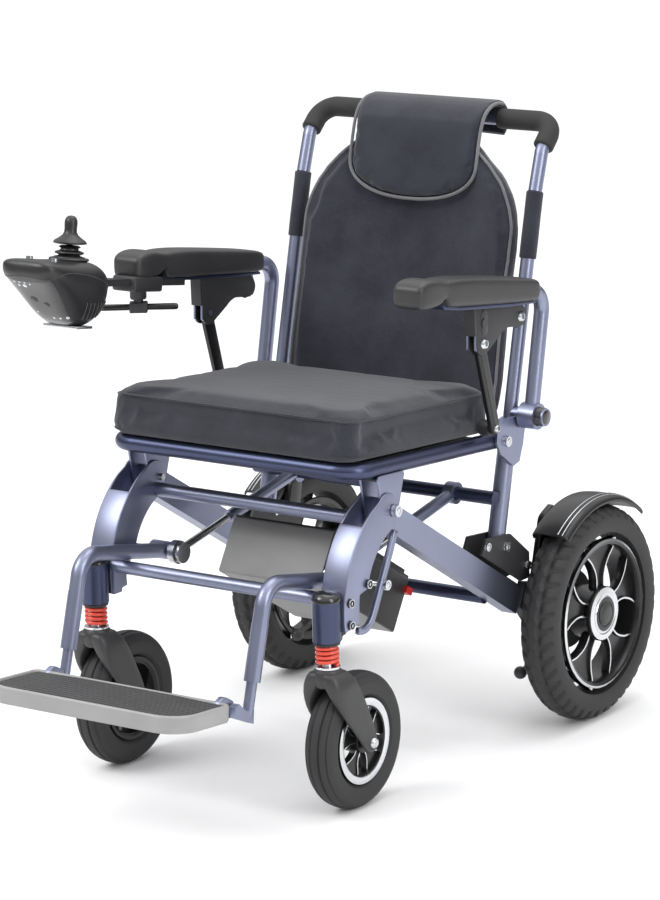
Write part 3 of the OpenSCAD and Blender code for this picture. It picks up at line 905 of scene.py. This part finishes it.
def makeSpring():
    steps = spring["turns"] * 20
    path = []
    for i in range(steps + 1):
        a = 2 * math.pi * spring["turns"] * i / steps
        z = spring["low"] + (spring["high"] - spring["low"]) * i / steps
        path.append((caster["x"] + spring["radius"] * math.cos(a),
                     caster["stemY"] + spring["radius"] * math.sin(a), z))
    coil = settle(tube("springCoil", path, spring["wire"], sides=3), sharp=None)
    parts = [dress(coil, paints["springRed"])]
    for name, profile, steps, finish in (
            ("springSeat", [(8, 212.3), (17, 212.3), (17.6, 213), (17.6, 215), (17, 215.6),
                            (8, 215.6)], 48, "steel"),
            ("springCap", [(8, 245.4), (17, 245.4), (18, 246), (18, 248.6), (17, 249.4),
                           (8, 249.4)], 48, "blackMatt"),
            ("kingPin", [(0, 212), (8, 212), (8, 249), (0, 249)], 32, "steel")):
        parts.append(turned(name, profile, stemPlace, steps, paints[finish]))
    return parts


casterParts = ([(makeCasterTyre(), "front_wheel_", "tyre_rubber", "caster_tyre_")]
               + [(p, "front_wheel_", "machined_rim", "caster_rim_") for p in makeCasterWheel()]
               + [(p, "fork_", "black_metal", "caster_fork_") for p in makeFork()]
               + [(p, "caster_lift_", "spring_red", "caster_spring_") for p in makeSpring()])
for label in ("left", "right"):
    for part, body, slotName, node in casterParts:
        piece = part if label == "left" else mirrored(part, part.name + "Right")
        assign([piece], body + label, node + label)
        if body == "caster_lift_":
            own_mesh(piece)


def plate(name, outline, x0, x1, edge, finish):
    # side-view outline in mm, from x0 to x1, with bevelled edges
    points = [(x * mm, y * mm, z * mm) for x in (x0, x1) for y, z in outline]
    n = len(outline)
    faces = [tuple(range(n)), tuple(range(2 * n - 1, n - 1, -1))]
    faces += [(i, (i + 1) % n, n + (i + 1) % n, n + i) for i in range(n)]
    obj = newMesh(name, points, faces)
    fixNormals(obj.data)
    addModifier(obj, "BEVEL", width=edge * mm, segments=3, limit_method="ANGLE",
                angle_limit=math.radians(40))
    return dress(settle(obj, sharp=40), paints[finish])


def block(name, low, high, place, edge, finish):
    # box between two corners in mm, in a place's own frame
    points = [(x * mm, y * mm, z * mm) for x in (low[0], high[0]) for y in (low[1], high[1])
              for z in (low[2], high[2])]
    faces = [(0, 1, 3, 2), (4, 6, 7, 5), (0, 4, 5, 1), (2, 3, 7, 6), (0, 2, 6, 4), (1, 5, 7, 3)]
    obj = newMesh(name, points, faces)
    addModifier(obj, "BEVEL", width=edge * mm, segments=3, limit_method="NONE")
    return dress(settle(obj, place, sharp=40), paints[finish])


def arc(centre, radius, start, end, steps):
    return [(centre[0] + radius * math.cos(math.radians(start + (end - start) * i / steps)),
             centre[1] + radius * math.sin(math.radians(start + (end - start) * i / steps)))
            for i in range(steps + 1)]


def boltHead(name, y, z, x, radius, height, finish):
    # button head with a socket, facing +X
    profile = [(radius * r, height * h) for r, h in (
        (0, 0.35), (0.38, 0.35), (0.44, 1), (0.72, 0.9), (0.94, 0.5), (1, 0.2), (1, 0), (0, 0))]
    return turned(name, profile, wheelPlace(x * mm, y * mm, z * mm), 24, paints[finish])


def bothSides(parts, body, node=None):
    # the piece on the +X side and its mirror image; a name that ends in _ has its side added
    for part in parts:
        for label in ("left", "right"):
            piece = part if label == "left" else mirrored(part, part.name + "Right")
            names = [n + label if n and n.endswith("_") else n for n in (body, node)]
            assign([piece], names[0], names[1])


print("front legs")
leg = dict(centre=(-47, 284), outer=156, x0=180, x1=220, thick=3.6)
cheek = (arc(leg["centre"], leg["outer"], 189, 123, 26) + arc((-96, 407), 25, 140, -30, 16)
         + arc(leg["centre"], 103, 112, 166, 16) + arc(leg["centre"], 121, 170, 189, 6))
legParts = [plate("legCheekOuter", cheek, leg["x1"] - leg["thick"], leg["x1"], 1.2, "frame"),
            plate("legCheekInner", cheek, leg["x0"], leg["x0"] + leg["thick"], 1.2, "frame"),
            plate("legFront", arc(leg["centre"], leg["outer"] + 0.4, 189, 133, 26)
                  + arc(leg["centre"], leg["outer"] - 3.4, 133, 189, 26), leg["x0"] + 0.4, leg["x1"] - 0.4, 1.4,
                  "frame")]


def strap(name, path, halfX, halfT, finish):
    # flat bar along a side-view path
    sections = []
    for i, point in enumerate(path):
        along = path[min(len(path) - 1, i + 1)] - path[max(0, i - 1)]
        along.normalize()
        sections.append((point * mm, halfX * mm, halfT * mm, (0, -along.z, along.y)))
    return dress(loft(name, sections, 12), paints[finish])


strapPath = smoothPath([(216, y, z) for y, z in (
    (-74, 376), (-88, 348), (-108, 312), (-126, 278), (-136, 262), (-146, 254), (-158, 252),
    (-170, 255))], 3)
legParts.append(strap("legStrap", strapPath, 4.5, 5.5, "frame"))
bothSides(legParts, "front_frame")
for label in ("left", "right"):
    for name in ("legCheekOuter", "legFront"):
        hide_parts("front_leg_" + label)
stemCap = turned("stemCap", [(0, 320), (7, 319.4), (13.5, 317.6), (18, 314), (20, 310), (20.3, 307),
                             (19.7, 306), (0, 306)], stemPlace, 48, paints["gloss"])
legBolts = [boltHead("legBlackBolt%d" % i, y, z, 220, 6.4, 5, "blackMetal")
            for i, (y, z) in enumerate(((-147, 316), (-191, 299), (-191, 268)))]
bothSides([stemCap] + legBolts, "front_frame")
bothSides([boltHead("hangerBolt", -105, 305, 220, 7.2, 5.4, "steel")], "front_frame")
# each row: name, Y, Z, X, radius, height
frameBolts = [("pivotBolt", -82, 405, 221, 8.8, 8.4), ("strutBolt", 201, 290, 220.4, 7.3, 5),
              ("backPivotBolt", 205, 444, 221, 7.8, 5.4), ("padBoltFront", 150, 301, 220.4, 6.3, 5),
              ("padBoltRear", 258, 250, 220.4, 6.3, 5)]
bothSides([boltHead(*bolt, "steel") for bolt in frameBolts], "chassis")
hanger = fillet([(-113, 458), (-47, 454), (-66, 398), (-78, 386), (-92, 386), (-102, 396)], 7)
hangerParts = [plate("seatHangerOuter", hanger, 212.6, 216.4, 1.0, "frame"),
               plate("seatHangerInner", hanger, 183.6, 187.4, 1.0, "frame")]
bothSides(hangerParts, "chassis")

print("mudguards")
guard = dict(radius=174, start=128, end=50, steps=40, stripe=0.0009)


def makeGuard():
    def overWheel(x, radius, turn):
        a = math.radians(turn)
        return (x * mm, drive["y"] + radius * math.cos(a) * mm, drive["z"] + radius * math.sin(a) * mm)

    rows = []
    for i in range(guard["steps"] + 1):
        turn = guard["start"] + (guard["end"] - guard["start"]) * i / guard["steps"]
        rows.append([overWheel(x, guard["radius"] + lift, turn) for x, lift in (
            (226, -14), (226.5, -4), (229, -0.5), (234, 1.5), (257, 3.0), (280, 1.5), (286, -0.5),
            (288.5, -4), (289, -9))])
    shell = grid("mudguard", rows)
    addModifier(shell, "SOLIDIFY", thickness=0.0026, offset=-1)
    subdivide(shell)
    shell = dress(settle(shell, sharp=60), paints["blackMetal"])
    stripes = []
    for k, x in enumerate((272, 279)):
        lift = 2.8 - 0.12 * (x - 268)
        line = [overWheel(x, guard["radius"] + lift, turn) for turn in range(127, 50, -3)]
        stripe = tube("guardStripe%d" % k, line, guard["stripe"], sides=2)
        stripes.append(dress(stripe, paints["steel"]))
    web = plate("guardWeb", fillet([(262, 214), (300, 214), (322, 330), (290, 316)], 8),
                218.5, 228.5, 2, "blackMetal")
    return [shell, web] + stripes


bothSides(makeGuard(), "chassis", "mudguards")

print("footplate")
tray = dict(half=167, front=-510, rear=-392, cant=math.radians(4.5), hinge=(-374, 186), ribs=11,
            border=8, corner=28)


def trayOutline(inset):
    h, f, r = tray["half"] - inset, tray["front"] + inset, tray["rear"] - inset
    front, rear = 42 - inset * 0.6, 12 - inset * 0.5
    return (arc((h - rear, r - rear), rear, 0, 90, 6) + arc((-h + rear, r - rear), rear, 90, 180, 6)
            + arc((-h + front, f + front), front, 180, 270, 10)
            + arc((h - front, f + front), front, 270, 360, 10))


def makeTray():
    rows = [[(x * mm, y * mm, z * mm) for x, y in trayOutline(inset)] for inset, z in (
        (6, 176), (1.5, 176.3), (0.4, 178), (0, 182), (0, 196), (0.5, 199), (2, 200.2), (4, 200.2),
        (5.5, 199), (6, 197), (6, 193.5), (9, 193.5))]
    body = dress(settle(closedGrid("footTray", rows), sharp=50), paints["tray"])
    mat = []
    depth = tray["rear"] - tray["front"] - 2 * tray["border"]
    for i in range(tray["ribs"] * 6 + 1):
        reach = depth * i / (tray["ribs"] * 6)
        y = tray["front"] + tray["border"] + reach
        z = 196.5 if i % 6 < 2 else 200.4
        half = tray["half"] - 9
        if reach < tray["corner"]:
            half -= tray["corner"] - math.sqrt(tray["corner"] ** 2 - (tray["corner"] - reach) ** 2)
        mat.append([(x * mm, y * mm, (z if abs(x) < half - 2.5 else z - 2) * mm)
                    for x in (-half, -half + 2, -half * 0.5, 0, half * 0.5, half - 2, half)])
    pad = grid("footMat", mat)
    addModifier(pad, "SOLIDIFY", thickness=0.004, offset=-1)
    pad = dress(settle(pad, sharp=30), paints["mat"])
    tilt = (Matrix.Translation((0, tray["hinge"][0] * mm, tray["hinge"][1] * mm))
            @ Matrix.Rotation(-tray["cant"], 4, "X")
            @ Matrix.Translation((0, -tray["hinge"][0] * mm, -tray["hinge"][1] * mm)))
    for part in (body, pad):
        part.data.transform(tilt)
    ear = fillet([(-398, 178), (-398, 201), (-384, 207), (-364, 196), (-364, 178), (-372, 174)], 5)
    ears = [plate("footEar%d" % k, ear, x - 4.7, x + 4.7, 1.2, "frame")
            for k, x in enumerate((144.6, -144.6))]
    return [body, pad] + ears


assign(makeTray(), "foot_tray", "footplate")

print("battery")
beamPlace = (Matrix.Translation((0, -0.082, 0.397))
             @ Matrix.Rotation(-math.atan2(174, 287), 4, "X"))
case = block("batteryCase", (-88, 66, -100), (88, 282, -16), beamPlace, 3.5, "boxFront")
case.data.materials.append(paints["castGrey"])
for face in case.data.polygons:
    if abs(face.normal.x) > 0.6:
        face.material_index = 1
lid = block("batteryLid", (-86.5, 68, -17), (86.5, 280, -13.5), beamPlace, 1.2, "plastic")
rails = [block("batteryRail%d" % k, (x - 5, 80, -14), (x + 5, 268, -8), beamPlace, 1.0, "blackMatt")
         for k, x in enumerate((80, -80))]
assign([case, lid] + rails, "chassis", "battery_case")

print("armrests")
arm = dict(padX=0.240, padded=0.9)
# each row in mm: Y, top, underside, half width
padSections = [(-71, 708, 692, 17), (-69.5, 714, 686, 22), (-64, 719.5, 682, 25), (-50, 723, 680, 26),
               (-32, 722, 680.5, 26), (-18, 718, 682, 25.5), (-10, 715.5, 688, 25), (-4, 714.5, 688, 25),
               (0, 714.5, 676, 25.2), (8, 715, 674, 25.8), (40, 712.5, 669.5, 26), (100, 703, 662, 26),
               (170, 691, 653, 26), (222, 681.5, 647.5, 26), (231, 678, 648.5, 25), (235.5, 672, 653, 21)]


def makePad(name):
    rows = []
    for y, top, low, half in padSections:
        midZ, hh = (top + low) / 2, (top - low) / 2
        row = []
        for cx, cz in squircle(20, 0.42, 0.42):
            dish = -0.9 * (1 - cx * cx) if cz > 0 else 0
            row.append((arm["padX"] + half * cx * mm, y * mm, (midZ + hh * cz + dish) * mm))
        rows.append(row)
    pad = closedGrid(name, rows)
    subdivide(pad)
    pad = dress(settle(pad, sharp=None), paints["armPad"])
    return pad


bothSides([makePad("armPad")], "arm_", "armrest_pad_")
padBase = plate("padBase", [(-2, 680), (40, 670), (100, 662.5), (170, 653.5), (234, 646.5),
                            (236, 642), (170, 648), (100, 657), (40, 665), (2, 672)],
                226, 254, 1.2, "frameDark")
bothSides([padBase], "arm_")
bracket = (arc((110, 605), 17, 200, 305, 8) + arc((178, 574), 43, 128, 62, 8)
           + arc((209, 627), 15, 300, 420, 8) + [(205, 652), (120, 664), (98, 664), (92, 655)])
latchParts = [plate("latchOuter", bracket, 241.4, 246.2, 1.2, "blackMatt"),
              plate("latchInner", bracket, 227.8, 232.4, 1.2, "blackMatt"),
              plate("latchFront", fillet([(88, 662), (94, 664), (95, 622), (89, 618)], 1.5),
                    228, 246, 0.8, "blackMatt"),
              plate("latchSlot", arc((112, 645), 8.4, 0, 180, 10)
                    + arc((113, 625), 8.4, 180, 360, 10), 245.6, 246.8, 0.5, "blackMetal")]
bothSides(latchParts, "arm_")
latchBolts = [boltHead("latchBoltFront", 110, 605, 246.0, 8, 5.5, "steel"),
              boltHead("latchBoltRear", 207, 627, 246.0, 8, 5, "steel")]
bothSides(latchBolts, "arm_")
strutParts = [plate("armStrut", fillet([(98, 612), (104, 620), (118, 619), (123, 608), (157, 482),
                                        (156, 470), (146, 466), (139, 474)], 5),
                    233.2, 240.8, 1.6, "blackMetal"),
              plate("armStrutFace", fillet([(106, 604), (113, 605), (149, 486), (143, 484)], 2.5),
                    240.4, 241.5, 0.5, "plastic"),
              boltHead("armStrutBolt", 148, 476, 240.6, 6, 5, "steel")]
bothSides(strutParts, "strut_", "armrest_strut_")
stubCap = turned("stubCap", [(0, 263), (9, 262.6), (12.6, 261), (13.6, 259), (13, 257.6),
                             (13.6, 256.2), (13, 254.8), (13.6, 253.4), (13, 252), (13.6, 250.8),
                             (13.3, 249.9), (11.2, 249.9), (0, 249.9)],
                 wheelPlace(0, 0.247, 0.475), 48, paints["gloss"])
bothSides([stubCap], "backrest")

print("joystick")
# places are in mm on the bar under the armrest: X across, Y back along it, Z up from it
pod = dict(x=-0.237, y=-0.120, z=0.688, slope=math.radians(8.862), stickY=-86, lampTilt=0.86,
           clampY=-0.047)
barPlace = (Matrix.Translation((pod["x"], pod["y"], pod["z"]))
            @ Matrix.Rotation(-pod["slope"], 4, "X"))
# each row: Y, middle, half height, half width
podSections = [(-188, 20, 5, 24), (-185, 21, 11, 36), (-178, 19, 14.5, 44), (-166, 14.5, 19, 48.5),
               (-148, 6.5, 26.5, 50), (-128, -4, 36.5, 50), (-108, -12, 44.5, 50),
               (-88, -14, 47, 50), (-70, -14, 46, 49.5), (-56, -13.5, 40, 47), (-46, -10, 29, 42),
               (-39.5, -5, 17, 33), (-36.5, -3, 8, 20)]
# each row: across, Y, Z, radius
podLamps = [(-24, -172, 2, 1.7), (-15, -172, 2, 1.7), (-6, -172, 2, 1.7), (-20, -166, -3, 2.2),
            (-10, -166, -3, 3.4), (2, -170, 0, 1.7), (-10, -142, -20, 6.5), (8, -136, -26, 5),
            (-24, -122, -36, 1.7), (-16, -122, -36, 1.7), (6, -114, -42, 2), (16, -114, -42, 2),
            (25, -112, -42, 2.8)]


def onBar(x, y, z):
    return barPlace @ Vector((x * mm, y * mm, z * mm))


def makePod():
    rows = []
    for y, midZ, hh, half in podSections:
        row = []
        for cx, cz in squircle(28, 0.5, 0.6):
            narrow = 1 if cz > -0.1 else 1 + 0.34 * (cz + 0.1) * min(1, hh / 40)
            row.append(onBar(half * cx * narrow, y, midZ + hh * cz))
        rows.append(row)
    body = closedGrid("joystickPod", rows)
    subdivide(body)
    body = dress(settle(body, sharp=None), paints["podSkin"], paints["gloss"])
    down = barPlace.to_3x3() @ Vector((0, -0.66, -0.75))
    for face in body.data.polygons:
        local = barPlace.inverted() @ face.center
        onFace = abs(local.x) < 0.040 and -0.174 < local.y < -0.104
        if onFace and face.normal.dot(down) > pod["lampTilt"]:
            face.material_index = 1
    parts = [(body, "pod_plastic")]
    girdle = [onBar(54 * math.cos(t), -112 + 80 * math.sin(t),
                    6 + 12 * math.cos(t * 2) - 9 * math.sin(t))
              for t in (2 * math.pi * i / 96 for i in range(96))]
    line = seam("podSeam", body, girdle, 0.0006, True, sink=0.2)
    parts.append((dress(line, paints["mat"]), "pod_plastic"))
    for s, label in ((1, "A"), (-1, "B")):
        for i in range(7):
            line = [onBar(s * (50 - 10 * t), -98 + 8.5 * i + 5 * t, -24 - 28 * t)
                    for t in (k / 8 for k in range(9))]
            rib = seam("podVent%s%d" % (label, i), body, line, 0.0013, sink=0.1)
            parts.append((dress(rib, paints["gloss"]), "pod_plastic"))
    bpy.context.view_layer.update()
    nearest = nearestOn(body)
    for i, (across, y, z, r) in enumerate(podLamps):
        spot, normal, _, _ = nearest(onBar(across, y, z))
        place = Matrix.Translation(spot) @ normal.to_track_quat("Z", "Y").to_matrix().to_4x4()
        lamp = turned("podLamp%d" % i, [(0, 0.9), (r * 0.6, 0.8), (r, 0.2), (r, -1.5), (0, -1.5)],
                      place, 20, paints["steel" if r < 4 else "blackMetal"])
        parts.append((lamp, "button_plastic"))
    collar = turned("podCollar", [(23, 30), (27.5, 31.5), (28.5, 33.5), (27, 35), (24, 35.4),
                                  (23, 34), (23, 30)], stickPlace, 64, paints["podSkin"])
    skid = block("podSkid", (-30, -98, -62), (30, -62, -58), barPlace, 1, "steel")
    parts += [(collar, "pod_plastic"), (skid, "pod_plastic")]
    return parts


stickPlace = barPlace @ Matrix.Translation((0, pod["stickY"] * mm, 0))
for part, slotName in makePod():
    assign([part], "joystick", "joystick_pod")
boot = turned("stickBoot", [(4, 53), (12, 52.4), (16, 50.5), (12.5, 48), (13, 46), (20, 43.5),
                            (20.8, 42), (19.5, 40.6), (15, 39.4), (15.6, 38.2), (22, 36.6),
                            (23, 35), (22, 33.4), (20, 32.4), (20, 27), (4, 27), (4, 53)],
              stickPlace, 64, paints["podSkin"])
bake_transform(boot)
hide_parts("joystick_boot")
knob = turned("stickKnob", [(0, 94), (4, 93.4), (7, 91.2), (8.8, 87.5), (9.2, 83), (8.8, 76), (9, 71),
                            (11, 67), (16, 63), (21.5, 59.4), (23.6, 57), (23.2, 55), (20, 54.2),
                            (9, 55), (4, 53), (4, 29), (0, 29)], stickPlace, 64, paints["podSkin"])
assign([knob], "stick", "joystick_stick")
mountTurn = (Matrix.Translation((pod["x"], pod["clampY"], 0.6766))
             @ Matrix.Rotation(-math.atan2(29, 186), 4, "X"))
clampPlace = Matrix.Translation((pod["x"], pod["clampY"], 0))
clampParts = [block("clampBlock", (-21, -33, -13), (21, 33, 9), mountTurn, 3.5, "blackMatt"),
              turned("clampBoss", [(0, 652), (11, 652), (12, 654), (12, 668), (0, 668)],
                     clampPlace, 40, paints["blackMatt"])]
assign(clampParts, "arm_right")
handlePlace = (Matrix.Translation((pod["x"], pod["clampY"], 0.640))
               @ Matrix.Rotation(math.radians(35), 4, "Z"))
hub = block("clampHub", (-13, -10, -7.5), (13, 10, 7.5), handlePlace, 2, "blackMatt")
rod = turned("clampHandle", [(0, 57), (3, 56.4), (4.6, 54), (4.8, 50), (4.6, 0), (4.8, -50),
                             (4.6, -54), (3, -56.4), (0, -57)],
             handlePlace @ Matrix.Rotation(math.radians(90), 4, "Y"), 32, paints["blackMetal"])
neck = turned("clampNeck", [(0, 661), (4.2, 661), (4.2, 652), (7, 651.6), (7, 646), (0, 646)],
              clampPlace, 32, paints["blackMetal"])
assign([hub, rod, neck], "clamp", "clamp_screw")
